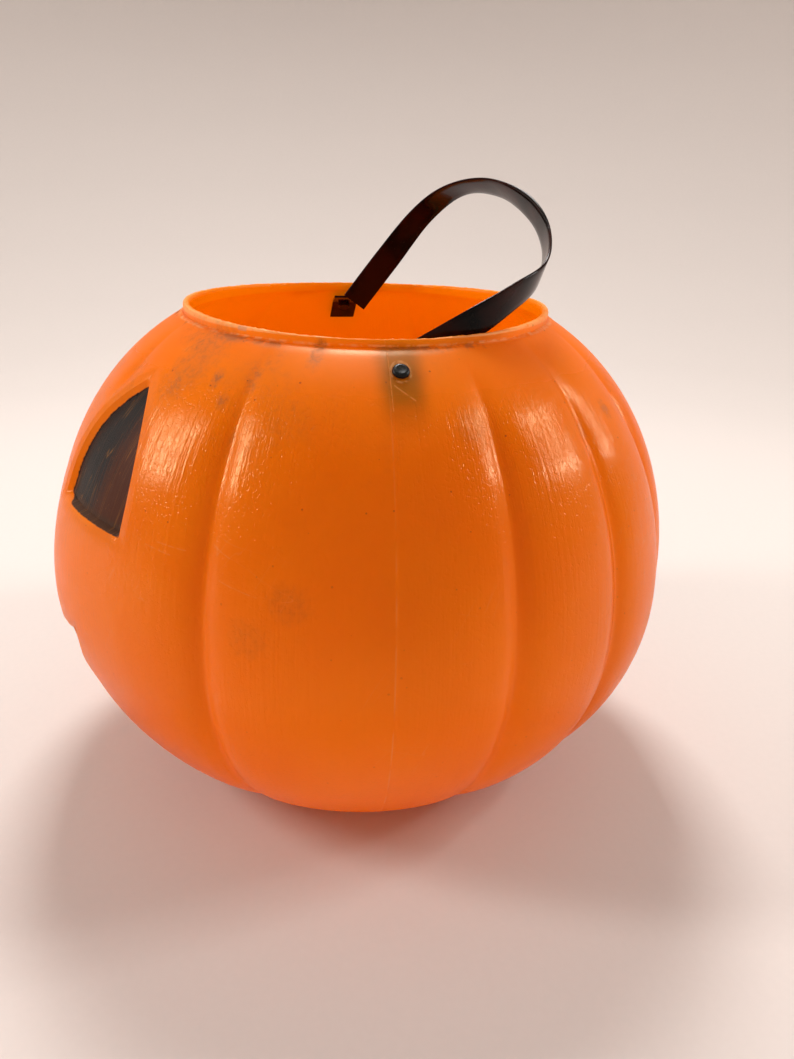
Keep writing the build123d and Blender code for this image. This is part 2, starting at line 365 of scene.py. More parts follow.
def shellGrid():  # flat record of the rings: the tree gives every point its place
    angles = columnAngles()
    lobes, widths = lobePlaces(angles)
    outside, inside = shellRows()
    count = len(angles)
    points = {name: [] for name in pointValues}
    rings = []
    start = 0
    for number, row in enumerate(outside + inside):
        step = 1 if number <= len(outside) else 2
        pick = slice(0, 1) if row[0] == 0 else slice(0, count, step)
        size = len(angles[pick])
        radius, height, outShare, upShare, grooveShare = row
        values = (np.radians(angles[pick]), radius * mm, height * mm, outShare, upShare, grooveShare,
                  lobes[pick], widths[pick] * mm, float(number >= len(outside)))
        for name, value in zip(pointValues, values):
            points[name].append(np.broadcast_to(value, size))
        rings.append(range(start, start + size))
        start += size
    faces = []
    for under, over in zip(rings, rings[1:]):
        for i in range(max(len(under), len(over))):
            if len(under) == len(over):
                k = (i + 1) % len(under)
                faces.append((under[i], under[k], over[k], over[i]))
            elif len(under) == 1:
                faces.append((under[0], over[(i + 1) % len(over)], over[i]))
            elif len(over) == 1:
                faces.append((under[i], under[(i + 1) % len(under)], over[0]))
            elif i % 2 == 0:
                half = i // 2
                far = (half + 1) % len(over)
                after = (i + 2) % len(under)
                faces.append((under[i], under[i + 1], under[after], over[far], over[half]))
    mesh = bpy.data.meshes.new("shellGrid")
    mesh.from_pydata([(0.0, 0.0, 0.0)] * start, [], faces)
    for name in pointValues:
        layer = mesh.attributes.new(name, "FLOAT", "POINT")
        layer.data.foreach_set("value", np.concatenate(points[name]).astype(np.float32))
    return mesh


def circleThrough(first, middle, last):  # centre and radius of an arc, in millimetres
    ax, az = first
    bx, bz = middle
    cx, cz = last
    twice = 2 * (ax * (bz - cz) + bx * (cz - az) + cx * (az - bz))
    squares = (ax * ax + az * az, bx * bx + bz * bz, cx * cx + cz * cz)
    x = (squares[0] * (bz - cz) + squares[1] * (cz - az) + squares[2] * (az - bz)) / twice
    z = (squares[0] * (cx - bx) + squares[1] * (ax - cx) + squares[2] * (bx - ax)) / twice
    return x, z, math.hypot(ax - x, az - z)


def sideOf(x, z, first, last):  # distance to the right of a line, in metres
    alongX, alongZ = last[0] - first[0], last[1] - first[1]
    length = math.hypot(alongX, alongZ)
    return (x - first[0] * mm) * (alongZ / length) - (z - first[1] * mm) * (alongX / length)


def roundOf(x, z, circle):  # distance outside a circle, in metres
    across = x - circle[0] * mm
    upward = z - circle[1] * mm
    return (across * across + upward * upward) ** 0.5 - circle[2] * mm


def faceDistance(x, z):  # below 0 inside the eyes, nose and mouth, seen from the front
    corner = face["corner"] * mm
    side = abs(x)

    def within(*edges):
        inside = edges[0]
        for edge in edges[1:]:
            inside = inside.math("SMOOTH_MAX", inside, edge, corner)
        return inside

    inner = face["eyeGap"] / 2
    apex = (inner + face["eyeWidth"] * face["eyeApexShare"], face["eyeSill"] + face["eyeHeight"])
    sides = []
    for key, foot in (("eyeOuterBowShares", inner + face["eyeWidth"]), ("eyeInnerBowShares", inner)):
        across, upward = face[key]
        bow = (inner + face["eyeWidth"] * across, face["eyeSill"] + face["eyeHeight"] * upward)
        sides.append(roundOf(side, z, circleThrough(apex, bow, (foot, face["eyeSill"]))))
    eye = within(*sides, face["eyeSill"] * mm - z)

    noseTop = (0.0, face["noseSill"] + face["noseHeight"])
    noseSide = sideOf(side, z, (face["noseWidth"] / 2, face["noseSill"]), noseTop)
    nose = within(noseSide, face["noseSill"] * mm - z)

    half = face["mouthWidth"] / 2
    corners = (half, face["mouthCornerHeight"])
    lowCorners = (half - face["mouthCornerSlant"], face["mouthCornerHeight"] - face["mouthCornerDrop"])
    upperLip = circleThrough((-half, corners[1]), (0.0, face["mouthTop"]), corners)
    lowerLip = circleThrough((-lowCorners[0], lowCorners[1]), (0.0, face["mouthBottom"]), lowCorners)
    mouth = within(-roundOf(side, z, upperLip), roundOf(side, z, lowerLip),
                   sideOf(side, z, lowCorners, corners))
    halfTooth = face["toothWidth"] / 2 * mm
    upperTeeth = within(abs(side - face["toothPlace"] * mm) - halfTooth,
                        (face["mouthTop"] - face["toothLength"]) * mm - z)
    lowerTooth = within(side - halfTooth, z - (face["mouthBottom"] + face["toothLength"]) * mm)
    mouth = within(mouth, -upperTeeth, -lowerTooth)
    return eye.least(nose).least(mouth)


def shellTree():
    sizes = ("Groove depth", "Groove softness", "Valley width", "Crown share", "Seam height", "Seam width",
             "Face depth", "Eye depth", "Face wall run", "Face lip", "Cheek swell", "Wall", "Rim height",
             "Rim saddle", "Rim ragged")
    tree, given = newTree("lobedShell", sizes)
    base = Wire(tree)
    points = {}
    for name in pointValues:
        points[name] = base.node("GeometryNodeInputNamedAttribute", {"data_type": "FLOAT"}, {"Name": name})
    cosine = base.math("COSINE", points["turn"])
    sine = base.math("SINE", points["turn"])
    z = points["rowHeight"]

    overEyes = z.smooth((browHeight - pail["browFade"]) * mm, browHeight * mm)
    beside = abs(points["turn"] + math.pi / 2).above(math.radians(frontStep))
    grooved = points["grooveShare"] * beside.most(overEyes)
    soft = given["Groove softness"] / points["lobeWidth"]
    away = 1 - points["lobe"]
    nearest = (away * away + soft * soft) ** 0.5
    crown = 1 - nearest  # the crest's curve, eased where lobes meet
    valley = base.math("EXPONENT", (soft - nearest) * points["lobeWidth"] / given["Valley width"])
    dip = crown * crown * given["Crown share"] + valley * (1 - given["Crown share"])
    groove = given["Groove depth"] * grooved * dip
    offCheek = (z - face["cheekHeight"] * mm) / (face["cheekReach"] * mm)
    cheek = given["Cheek swell"] * (1 - beside) * points["lobe"].smooth(0.0, 1.0)
    cheek = cheek * (1 - offCheek * offCheek).most(0.0)
    outside = 1 - points["skin"]
    offSeam = abs(points["rowRadius"] * sine)
    seam = given["Seam height"] * (1 - offSeam.smooth(0.0, given["Seam width"])) * outside
    radius = points["rowRadius"] - groove + cheek + seam * points["outShare"]
    x = radius * cosine
    y = radius * sine

    # The face is sunk along the wall's normal, with points drawn to the lip and the foot of its sides
    step = face["probe"] * mm
    run = given["Face wall run"]
    grown = given["Wall"] * points["skin"]
    distance = faceDistance(x, z)
    slopeX = (faceDistance(x + step, z) - distance) / step
    slopeZ = (faceDistance(x, z + step) - distance) / step
    distance = distance - grown
    front = (-sine).above(face["frontShare"]) * points["outShare"].above(face["uprightShare"])
    reach = face["pullReach"] * mm
    toLip = (distance + run * 0.5).above(0.0) * (reach - distance).above(0.0)
    toFoot = (1 - (distance + run * 0.5).above(0.0)) * (distance + run + reach).above(0.0)
    steep = (slopeX * slopeX + slopeZ * slopeZ).most(face["leastSlope"])
    pull = (toLip * distance + toFoot * (distance + run)) * front / steep
    moveX = -pull * slopeX
    moveZ = -pull * slopeZ
    normalX = points["outShare"] * cosine
    normalY = points["outShare"] * sine
    moveY = -(normalX * moveX + points["upShare"] * moveZ) / normalY.least(-face["leastSlope"])
    settled = distance - (toLip * distance + toFoot * (distance + run)) * front
    lip = given["Face lip"] * (1 - settled.smooth(0.0, face["lipReach"] * mm))
    isEye = z.above((face["eyeSill"] - face["eyeMargin"]) * mm)
    depth = given["Face depth"] + (given["Eye depth"] - given["Face depth"]) * isEye
    sides = (depth - given["Face lip"]) * ((-settled / run).least(1.0).most(0.0))
    sink = (lip + sides) * front

    # The rim was cut by hand: it sags at the rivets and its edge is ragged
    starts, full = pail["saddleReach"]
    rimShare = z.smooth(given["Rim height"] - starts * mm, given["Rim height"] - full * mm)
    edgeShare = z.smooth(given["Rim height"] - pail["raggedReach"] * mm, given["Rim height"])
    ringPlace = vector(base, cosine, sine, points["skin"] * 0.02)
    coarse = ringPlace.noise(7.0, 2.0)
    fine = ringPlace.noise(45.0, 3.0)
    ragged = given["Rim ragged"] * ((coarse - 0.5) * 0.8 + (fine - 0.5) * 1.6)
    saddle = given["Rim saddle"] * (sine * sine * 2 - 1)
    lift = saddle * rimShare + ragged * edgeShare

    placeX = x + moveX - normalX * sink
    placeY = y + moveY * front - normalY * sink
    placeZ = z + moveZ - points["upShare"] * sink + lift
    place = vector(base, placeX, placeY, placeZ)
    shaped = base.node("GeometryNodeSetPosition", None, {"Geometry": given["Geometry"], "Position": place})
    kept = {"faceDistance": settled + (1 - front), "groovePlace": valley * grooved}
    for name, value in kept.items():
        shaped = base.node("GeometryNodeStoreNamedAttribute", {"data_type": "FLOAT", "domain": "POINT"},
                           {"Geometry": shaped, "Name": name, "Value": value})
    endTree(tree, shaped, given["Material"])
    return tree


def finish(base, shader):  # closes a material's tree
    out = base.tree.nodes.new("ShaderNodeOutputMaterial")
    base.tree.links.new(shader.socket, out.inputs["Surface"])


def newMaterial(name):
    material = bpy.data.materials.new(name)
    material.use_nodes = True
    material.node_tree.nodes.clear()
    return material, Wire(material.node_tree)


def placeInMillimetres(base):
    place = base.node("ShaderNodeTexCoord", None, None, "Object")
    return base.node("ShaderNodeVectorMath", {"operation": "SCALE"}, {0: place, "Scale": 1 / mm})


def bumpOf(base, height, depth):  # depth in millimetres, for a height from 0 to 1
    return base.node("ShaderNodeBump", None, {"Strength": 1.0, "Distance": depth * mm, "Height": height})


# Finish of the shell: glossy translucent orange, handled and dirty, with a worn black face
orangeFinish = {
    "orange": rgb(0.985, 0.262, 0.001),
    "deepOrange": rgb(0.95, 0.225, 0.001),
    # brighter orange inside: a painted glow of the light gathered in the pail
    "insideGlowOrange": rgb(1.0, 0.32, 0.002),
    "seamOrange": rgb(0.98, 0.42, 0.1),
    # pale cut plastic, and the colour of the painted highlight at the collar's foot
    "paleCutAndHighlight": rgb(0.98, 0.55, 0.2),
    "chipGrey": rgb(0.42, 0.36, 0.24),
    "grime": rgb(0.24, 0.085, 0.02),
    "soot": rgb(0.045, 0.025, 0.014),
    "strapShade": rgb(0.22, 0.115, 0.002),
    "roughness": 0.12,
    "gloss": 0.65,
    "glossTint": rgb(1.0, 0.68, 0.28),
    "refraction": 1.5,
    "translucency": 0.45,
    "glow": rgb(1.0, 0.5, 0.02),  # light that comes through the wall
    "bumpDepth": 0.4,  # in millimetres
}
faceFinish = {
    "paint": rgb(0.016, 0.015, 0.014),
    "wornPaint": rgb(0.066, 0.018, 0.007),
    "sillPaint": rgb(0.06, 0.026, 0.014),
    "bareScratch": rgb(0.5, 0.2, 0.03),
    "roughness": 0.45,
    "gloss": 0.07,
    "bumpDepth": 0.1,
    "wornOut": (40.0, 68.0),  # rubbed from here outwards, in millimetres from the middle
    "sillTop": (117.2, 119.0),  # the eyes' sills, by height and from the middle outwards
    "sillFoot": (100.0, 108.0),
    "sillOut": (35.0, 44.0),
    "inset": 1.2,  # of the paint's edge, inside the lip
    "edgeFade": (-0.15, 0.15),
}

# Marks of use, by turn and height in degrees and millimetres
marks = {
    "smudges": (  # with their reach and strength
        (-38.4, 162.9, 3.4, 0.75), (-34.5, 157.8, 3.0, 0.6), (-47.5, 166.5, 15.0, 0.5),
        (-17.0, 171.5, 5.0, 0.8), (-30.0, 163.0, 4.0, 0.4), (-15.6, 108.8, 8.0, 0.3),
        (-21.5, 96.9, 8.0, 0.25), (53.6, 150.9, 4.0, 0.6), (15.5, 154.0, 8.0, 0.35),
        (150.0, 150.0, 12.0, 0.4), (-130.0, 158.0, 10.0, 0.45), (110.0, 90.0, 9.0, 0.3),
    ),
    "scratches": (  # from end to end
        ((0.35, 171.6), (0.55, 158.6)), ((1.2, 164.4), (5.2, 160.9)),
        ((-38.6, 119.2), (-33.4, 118.4)), ((-41.0, 117.6), (-36.0, 116.4)),
        ((-29.0, 121.0), (-25.5, 119.0)), ((-27.0, 112.0), (-20.5, 109.5)),
    ),
    "scratchWidth": (0.08, 0.26),  # of the core and to the faded edge
    "dents": ((62.0, 140.0, 16.0, 0.3), (140.0, 120.0, 18.0, 0.6)),  # with their reach and depth
    "chip": (-41.0, 175.6),
    "chipReach": (2.2, 3.4),
    "rivetRing": 3.0,
    "rivetRingFade": (0.1, 0.5),
    "neckHighlightLift": 0.2,  # of the painted highlight at the collar's foot, above the neck
    "neckHighlightFade": (0.15, 0.6),
    "seamFade": (0.05, 0.4),  # to both sides of the parting line
    "strapFade": (3.0, 9.5),  # and of the strap's middle
    "grimeFade": (-40.0, 50.0),  # along Y, from the front to the back
}
bands = {  # heights in millimetres between which a mark fades in or out
    "seamDims": (60.0, 150.0),
    "strapStarts": (150.0, 164.0),
    "strapEnds": (172.0, 175.8),
    "cutEdge": (174.9, 175.4),
    "chipEdge": (174.4, 175.0),
    "shoulderGrime": (118.0, 165.0),
    "creaseStarts": (170.8, 172.6),
    "creaseEnds": (172.7, 173.3),
    "furrowGrime": (138.0, 158.0),
    "speckGain": (100.0, 150.0),
    "calmNeck": (155.0, 168.0),
}
arcRadius = 100.0  # turns are laid out flat on this radius, in millimetres


def offPlace(arc, z, turn, height):  # how far a point of the shell lies from a mark
    across = arc - math.radians(turn) * arcRadius
    upward = z - height
    return (across * across + upward * upward) ** 0.5


def offLine(arc, z, first, last):  # and from a scratch
    startX, startZ = math.radians(first[0]) * arcRadius, first[1]
    runX, runZ = math.radians(last[0]) * arcRadius - startX, last[1] - startZ
    square = runX ** 2 + runZ ** 2
    along = (arc - startX) * (runX / square) + (z - startZ) * (runZ / square)
    along = along.most(0.0).least(1.0)
    across = arc - startX - along * runX
    upward = z - startZ - along * runZ
    return (across * across + upward * upward) ** 0.5


def scratchLines(base, arc, z, angle, fineness, thickness):  # long thin lines at one slant
    cosine, sine = math.cos(math.radians(angle)), math.sin(math.radians(angle))
    along = arc * cosine + z * sine
    across = z * cosine - arc * sine
    lines = vector(base, along * 0.018, across * fineness, angle * 0.1).noise(1.0, 1.0)
    return 1 - abs(lines - 0.5).smooth(0.0, thickness)


def readMark(base, name):  # a value kept on the mesh
    return base.node("ShaderNodeAttribute", {"attribute_name": name}, None, "Fac")


def facePaint(base, place, x, z, arc):  # black, rubbed brown towards the outer corners and on the sills
    tint = faceFinish
    brushed = vector(base, arc * 1.4, z * 0.05, 0.0).noise(1.0, 4.0, 0.6)
    mottle = place.noise(1.1, 3.0, 0.7) * 0.6
    worn = (abs(x).smooth(*tint["wornOut"]) * 0.8 + brushed + mottle - 0.92).smooth(0.0, 0.45)
    coat = worn.mixColour(tint["paint"], tint["wornPaint"])
    sill = (1 - z.smooth(*tint["sillTop"])) * z.smooth(*tint["sillFoot"]) * abs(x).smooth(*tint["sillOut"])
    coat = (sill * 0.85).mixColour(coat, tint["sillPaint"])
    flecks = vector(base, arc * 0.9, z * 0.3, 3.0).noise(1.0, 5.0, 0.7).smooth(0.62, 0.73)
    flecks = flecks * (0.25 + worn * 0.75) * 0.8
    flecks = flecks + scratchLines(base, arc, z, 76.0, 0.25, 0.01) * mottle * 0.8
    coat = flecks.least(0.8).mixColour(coat, tint["bareScratch"])
    shader = base.node("ShaderNodeBsdfPrincipled", None, {
        "Base Color": coat, "Roughness": tint["roughness"], "Specular IOR Level": tint["gloss"],
        "Normal": bumpOf(base, brushed, tint["bumpDepth"])})
    return shader, sill


def orangePlastic():
    material, base = newMaterial("orangePlastic")
    place = placeInMillimetres(base)
    x, y, z = base.node("ShaderNodeSeparateXYZ", None, {0: place}, (0, 1, 2))
    arc = base.math("ARCTAN2", y, x) * arcRadius
    painted = readMark(base, "faceDistance") * (1 / mm)
    valley = readMark(base, "groovePlace")
    outside = 1 - readMark(base, "skin")
    tint = orangeFinish

    colour = place.noise(0.018, 3.0).smooth(0.35, 0.7).mixColour(tint["orange"], tint["deepOrange"])

    # Parting line of the mould, a little paler
    seam = (1 - abs(y).smooth(*marks["seamFade"])) * place.noise(0.09, 2.0).smooth(0.35, 0.6) * outside
    colour = (seam * (0.75 - z.smooth(*bands["seamDims"]) * 0.45)).mixColour(colour, tint["seamOrange"])

    # Painted shadow of the strap's ends behind the translucent wall, and the plastic is whitened around the
    # rivets
    turned = math.radians(rivetTurn)
    aside = abs(y * math.cos(turned) - x * math.sin(turned))
    paintedStrapShadow = (1 - aside.smooth(*marks["strapFade"])) * z.smooth(*bands["strapStarts"])
    paintedStrapShadow = paintedStrapShadow * (1 - z.smooth(*bands["strapEnds"])) * outside
    colour = (paintedStrapShadow * 0.8).mixColour(colour, tint["strapShade"])
    offRivet = (aside * aside + (z - rivetHeight) * (z - rivetHeight) * 1.6) ** 0.5
    ring = 1 - abs(offRivet - marks["rivetRing"]).smooth(*marks["rivetRingFade"])
    colour = (ring * place.noise(0.8, 2.0).smooth(0.3, 0.6) * 0.5).mixColour(colour, tint["paleCutAndHighlight"])

    # The mouth was trimmed by hand: a pale ragged edge and a chip; a painted highlight runs along the
    # collar's foot
    cut = z.smooth(*bands["cutEdge"]) * place.noise(0.5, 3.0).smooth(0.2, 0.5)
    neckHighlight = 1 - abs(z - (neckHeight + marks["neckHighlightLift"])).smooth(*marks["neckHighlightFade"])
    neckHighlight = neckHighlight * place.noise(0.3, 4.0, 0.65).smooth(0.42, 0.6) * outside
    colour = (cut.most(neckHighlight) * 0.9).mixColour(colour, tint["paleCutAndHighlight"])
    chip = 1 - offPlace(arc, z, *marks["chip"]).smooth(*marks["chipReach"])
    chip = chip * z.smooth(*bands["chipEdge"])
    colour = (chip * 0.8).mixColour(colour, tint["chipGrey"])

    # Grime on the shoulder, at the collar's foot, in the tops of the grooves and in single smudges
    clouds = place.noise(0.028, 5.0, 0.6).smooth(0.47, 0.7)
    speckle = place.noise(0.5, 5.0, 0.7).smooth(0.4, 0.68)
    shoulder = z.smooth(*bands["shoulderGrime"]) * clouds * (0.35 + speckle * 0.65)
    shoulder = shoulder * (1 - y.smooth(*marks["grimeFade"]) * 0.7)
    crease = z.smooth(*bands["creaseStarts"]) * (1 - z.smooth(*bands["creaseEnds"]))
    crease = crease * place.noise(0.05, 4.0, 0.7).smooth(0.5, 0.62)
    furrow = valley.smooth(0.7, 0.92) * z.smooth(*bands["furrowGrime"])
    furrow = furrow * place.noise(0.12, 3.0).smooth(0.4, 0.56)
    dirt = shoulder * 0.5 + crease * 0.8 + furrow * 0.8
    blur = place.noise(0.35, 3.0, 0.6) - 0.5
    for turn, height, wide, strength in marks["smudges"]:
        soft = offPlace(arc, z, turn, height) + blur * (wide * 0.9)
        dirt = dirt + (1 - soft.smooth(wide * 0.35, wide)) * (strength * (0.45 + speckle * 0.55))
    dirt = dirt.least(0.85) * outside
    # the inside is painted a brighter orange, a painted glow of the light gathered in the pail
    colour = dirt.mixColour(outside.mixColour(tint["insideGlowOrange"], colour), tint["grime"])
    cells, pick = base.node("ShaderNodeTexVoronoi", None, {"Vector": place, "Scale": 0.2},
                            ("Distance", "Color"))
    chance = base.node("ShaderNodeSeparateColor", None, {0: pick})
    size = 0.03 + chance * 0.05
    offSpeck = cells + place.noise(1.5, 2.0) * 0.03 - size
    specks = (1 - offSpeck.smooth(0.0, 0.03)) * chance.above(0.45) * outside
    colour = (specks * (0.3 + z.smooth(*bands["speckGain"]) * 0.5)).mixColour(colour, tint["soot"])

    # Scuffs and scratches show paler
    scratches = scratchLines(base, arc, z, 62.0, 0.16, 0.006)
    scratches = scratches + scratchLines(base, arc, z, -14.0, 0.12, 0.005)
    scratches = scratches * place.noise(0.03, 2.0).smooth(0.58, 0.68)
    for first, last in marks["scratches"]:
        scratches = scratches + 1 - offLine(arc, z, first, last).smooth(*marks["scratchWidth"])
    scratches = (scratches * place.noise(0.6, 2.0).smooth(0.25, 0.5)).least(1.0) * outside
    colour = (scratches * 0.55).mixColour(colour, tint["seamOrange"])

    # Fine upright drawing marks, pits and shallow swells from the mould
    patches = vector(base, arc * 0.05, z * 0.02, 5.0).noise(1.0, 2.0).smooth(0.38, 0.6)
    lines = vector(base, arc * 0.9, z * 0.006, 0.0).noise(1.0, 3.0, 0.65)
    dashes = vector(base, arc * 1.3, z * 0.1, 7.0).noise(1.0, 2.0, 0.6)
    pits = place.noise(1.0, 1.0, 0.5).smooth(0.55, 0.7)
    neck = z.smooth(*bands["calmNeck"]) * outside
    marked = lines * (0.08 + patches * 0.42) + dashes * 0.26 - pits * 0.12
    relief = marked * (1 - neck * 0.85) + place.noise(0.05, 2.0) * (1 - neck * 0.6)
    for turn, height, wide, depth in marks["dents"]:
        dent = 1 - offPlace(arc, z, turn, height).smooth(0.0, wide)
        relief = relief - dent * (depth / tint["bumpDepth"])
    roughness = tint["roughness"] + place.noise(0.08, 3.0) * 0.08
    roughness = roughness + dirt * 0.25 + cut * 0.2 + neck * 0.2
    shader = base.node("ShaderNodeBsdfPrincipled", None, {
        "Base Color": colour, "Roughness": roughness, "Normal": bumpOf(base, relief, tint["bumpDepth"]),
        "IOR": tint["refraction"], "Specular IOR Level": tint["gloss"], "Specular Tint": tint["glossTint"]})
    through = base.node("ShaderNodeBsdfTranslucent", None, {"Color": tint["glow"]})
    plastic = base.node("ShaderNodeMixShader", None, {
        0: tint["translucency"] * (1 - dirt * 0.5), 1: shader, 2: through})

    # Paint on the floors of the sunken face, and on the sills of the eyes
    coat, sill = facePaint(base, place, x, z, arc)
    edge = place.noise(0.6, 3.0) * 0.5 - 0.25
    inset = faceFinish["inset"]
    paint = (1 - (painted + edge - sill * inset + inset).smooth(*faceFinish["edgeFade"])) * outside
    finish(base, base.node("ShaderNodeMixShader", None, {0: paint, 1: plastic, 2: coat}))
    return material


orange = orangePlastic()
shell = growMesh("pailShell", shellGrid(), shellTree(), {
    "Groove depth": pail["grooveDepth"] * mm,
    "Groove softness": pail["grooveSoftness"] * mm,
    "Valley width": pail["valleyWidth"] * mm,
    "Crown share": pail["crownShare"],
    "Seam height": pail["seamHeight"] * mm,
    "Seam width": pail["seamWidth"] * mm,
    "Face depth": face["depth"] * mm,
    "Eye depth": face["eyeDepth"] * mm,
    "Face wall run": face["wallRun"] * mm,
    "Face lip": face["lip"] * mm,
    "Cheek swell": face["cheekSwell"] * mm,
    "Wall": pail["wall"] * mm,
    "Rim height": pail["rimHeight"] * mm,
    "Rim saddle": pail["rimSaddle"] * mm,
    "Rim ragged": pail["rimRagged"] * mm,
    "Material": orange,
})
shadeSmooth(shell.data, pail["sharpAngle"])
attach(shell, "pail")
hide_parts("pail_shell")
print("pail shell grown,", len(shell.data.polygons), "faces")


# Handle strap: a loop of thin band between the rivets, in millimetres and degrees
strap = {
    "width": 10.4,
    "thickness": 0.9,
    "edgeRound": 0.35,
    "reach": 70.0,
    "pivotRadius": 61.0,
    "pivotHeight": 169.5,
    "pivotTurn": 3.0,
    "flap": 3.0,  # the loop's feet run on this far below the pivot line
    "acrossShares": (-1.0, -0.90, -0.84, -0.60, -0.29, 0.07, 0.37, 0.62, 0.82, 0.93, 1.0),
    "reachShares": (0.0, 0.32, 0.645, 0.85, 0.97, 1.0, 0.945, 0.81, 0.60, 0.33, 0.0),
    "leans": (46.0, 44.0, 40.5, 41.5, 47.0, 54.5, 61.5, 67.5, 68.5, 73.0, 77.0),
    "rolls": (0.0, 2.0, 23.0, 30.0, 9.0, -17.0, -33.0, -41.0, -27.0, -7.0, 0.0),
    "farShift": (0.0, 5.1, 0.0),  # the loop's foot at the far rivet lies a little to the back
    "nearShift": (0.0, 0.0, -5.6),  # and at the near one it dips under the rim
    "stepsBetween": 16,
    "flatShares": (1.0, 0.6, 0.2, -0.2, -0.6, -1.0),  # points across the flat of the band
    "edgeAngles": (30, 90, 150),  # and around its edge
    "sharpAngle": 60,
}
pivotTurn = math.radians(strap["pivotTurn"])
pivotAxis = Vector((math.cos(pivotTurn), math.sin(pivotTurn), 0.0))
backward = Vector((0.0, 0.0, 1.0)).cross(pivotAxis)


def leaning(lean):
    return backward * math.sin(math.radians(lean)) + Vector((0.0, 0.0, math.cos(math.radians(lean))))


def smoothRun(points, steps):  # a curve through the points, with even steps in each span
    run = []
    for i in range(len(points) - 1):
        before, first = points[max(i - 1, 0)], points[i]
        last, after = points[i + 1], points[min(i + 2, len(points) - 1)]
        for k in range(steps + (i == len(points) - 2)):
            t = k / steps
            bend = (first * 2 + (last - before) * t + (before * 2 - first * 5 + last * 4 - after) * t * t
                    + (first * 3 - before - last * 3 + after) * t * t * t)
            run.append(bend * 0.5)
    return run


def strapStations():
    places, swings = [], []
    for across, reach, lean in zip(strap["acrossShares"], strap["reachShares"], strap["leans"]):
        place = pivotAxis * (strap["pivotRadius"] * across) + leaning(lean) * (strap["reach"] * reach)
        places.append(place + Vector((0.0, 0.0, strap["pivotHeight"])))
    places[0] += Vector(strap["farShift"]) - leaning(strap["leans"][0]) * strap["flap"]
    places[-1] += Vector(strap["nearShift"]) - leaning(strap["leans"][-1]) * strap["flap"]
    last = len(places) - 1
    for i, (lean, roll) in enumerate(zip(strap["leans"], strap["rolls"])):
        along = places[min(i + 1, last)] - places[max(i - 1, 0)]
        swing = leaning(lean).cross(pivotAxis)
        swings.append(Matrix.Rotation(math.radians(roll), 3, along.normalized()) @ swing)
    return smoothRun(places, strap["stepsBetween"]), smoothRun(swings, strap["stepsBetween"])


def bandSection():  # outline of the band, edges rounded
    rounding = strap["edgeRound"]
    flat = strap["width"] / 2 - rounding
    outline = []
    for side in (1, -1):
        high = side * strap["thickness"] / 2
        for share in strap["flatShares"]:
            outline.append((side * share * flat, high))
        for angle in strap["edgeAngles"]:
            turn = math.radians(angle)
            outline.append((-side * (flat + rounding * math.sin(turn)), high * math.cos(turn)))
    return outline


def loftBand(name, places, swings, outline):
    points, faces = [], []
    count = len(outline)
    for i, (place, swing) in enumerate(zip(places, swings)):
        along = places[min(i + 1, len(places) - 1)] - places[max(i - 1, 0)]
        along.normalize()
        wide = (swing - along * swing.dot(along)).normalized()
        thick = along.cross(wide)
        points += [(place + wide * u + thick * v) * mm for u, v in outline]
    for i in range(len(places) - 1):
        for k in range(count):
            n = (k + 1) % count
            faces.append((i * count + k, (i + 1) * count + k, (i + 1) * count + n, i * count + n))
    faces.append(tuple(range(count)))
    faces.append(tuple(range((len(places) - 1) * count, len(places) * count))[::-1])
    mesh = bpy.data.meshes.new(name)
    mesh.from_pydata(points, [], faces)
    return mesh


strapFinish = {
    "black": rgb(0.003, 0.0024, 0.0022),
    # red-brown: partly the strap's own tone, partly a painted reflection of the orange pail
    "brownAndOrangeReflection": rgb(0.024, 0.005, 0.0025),
    "dust": rgb(0.05, 0.04, 0.034),
    "roughness": 0.12,
    "gloss": 0.08,
    "refraction": 1.52,
    "bumpDepth": 0.02,
}


def strapPlastic():
    material, base = newMaterial("strapPlastic")
    place = placeInMillimetres(base)
    tint = strapFinish
    # black and red-brown in broad patches; the red-brown is partly a painted reflection of the orange pail
    colour = place.noise(0.05, 3.0).smooth(0.35, 0.65).mixColour(tint["black"], tint["brownAndOrangeReflection"])
    dust = place.noise(0.9, 4.0, 0.65).smooth(0.6, 0.75) * place.noise(0.06, 2.0).smooth(0.45, 0.65)
    colour = (dust * 0.35).mixColour(colour, tint["dust"])
    ripples = place.noise(0.12, 3.0)
    grain = place.noise(1.2, 2.0)
    bump = bumpOf(base, ripples * 3.0 + grain * 0.4, tint["bumpDepth"])
    shader = base.node("ShaderNodeBsdfPrincipled", None, {
        "Base Color": colour, "Roughness": tint["roughness"] + dust * 0.3 + (grain - 0.5) * 0.08,
        "Normal": bump, "IOR": tint["refraction"], "Specular IOR Level": tint["gloss"]})
    finish(base, shader)
    return material


blackStrap = strapPlastic()
stations, swings = strapStations()
loop = bpy.data.objects.new("strapLoop", loftBand("strapLoop", stations, swings, bandSection()))
bpy.context.scene.collection.objects.link(loop)
loop.data.materials.append(blackStrap)
shadeSmooth(loop.data, strap["sharpAngle"])
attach(loop, "handle")
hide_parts("handle_strap")
for node in ("strap_end_near", "strap_end_far"):
    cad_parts[node].data.materials.clear()
    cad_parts[node].data.materials.append(blackStrap)
print("strap loop made,", len(loop.data.polygons), "faces")


# Rivets: one turned pin, set on the shoulder at both ends of the strap
rivet = {
    "count": 2,
    "headRadius": 2.65,
    "headHeight": 1.2,
    "shankRadius": 1.6,
    "shankLength": 4.15,
    "clinchRadius": 2.4,
    "clinchHeight": 0.8,
    "clinchRound": 0.25,
    "headShares": (  # of the head's radius and height, from its hollow top to its edge
        (0.0, 0.86), (0.3, 0.88), (0.5, 0.98), (0.62, 1.0),
        (0.78, 0.95), (0.92, 0.75), (1.0, 0.4), (1.0, 0.0),
    ),
    "sides": 40,
    "sharpAngle": 40,
}


